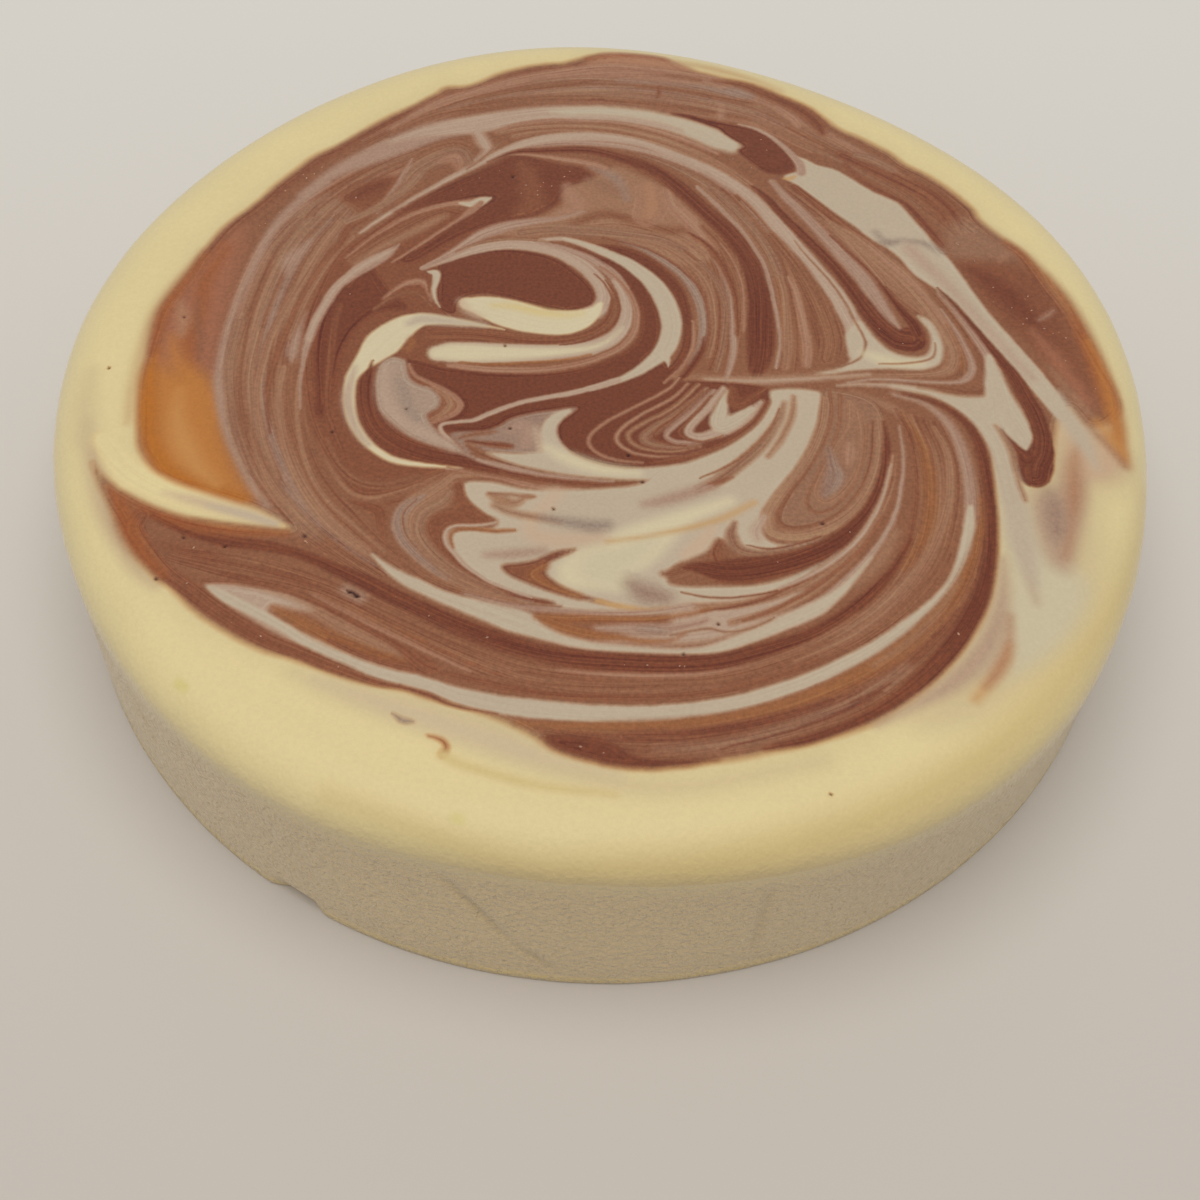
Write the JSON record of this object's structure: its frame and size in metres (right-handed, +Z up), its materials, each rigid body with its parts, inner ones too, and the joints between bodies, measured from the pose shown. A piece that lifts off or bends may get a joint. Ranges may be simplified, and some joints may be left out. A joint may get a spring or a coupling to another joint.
{
  "type": "marble cheesecake",
  "caption": "Whole round cheesecake with an upright side, a soft round shoulder and a flat top marbled in brown; it rests on its flat base.",
  "frame": {"origin": "middle of the flat base, on the cake's axis", "axes": "+Z up through the cake's middle; -Y towards the side that the picture shows"},
  "size_m": [0.2007, 0.2013, 0.041],
  "materials": {
    "custard": "soft satin baked custard, pale yellow, with brown cocoa marbling in the top and a matte tan side"
  },
  "bodies": {
    "root": {"cheesecake": "custard"}
  },
  "joints": []
}
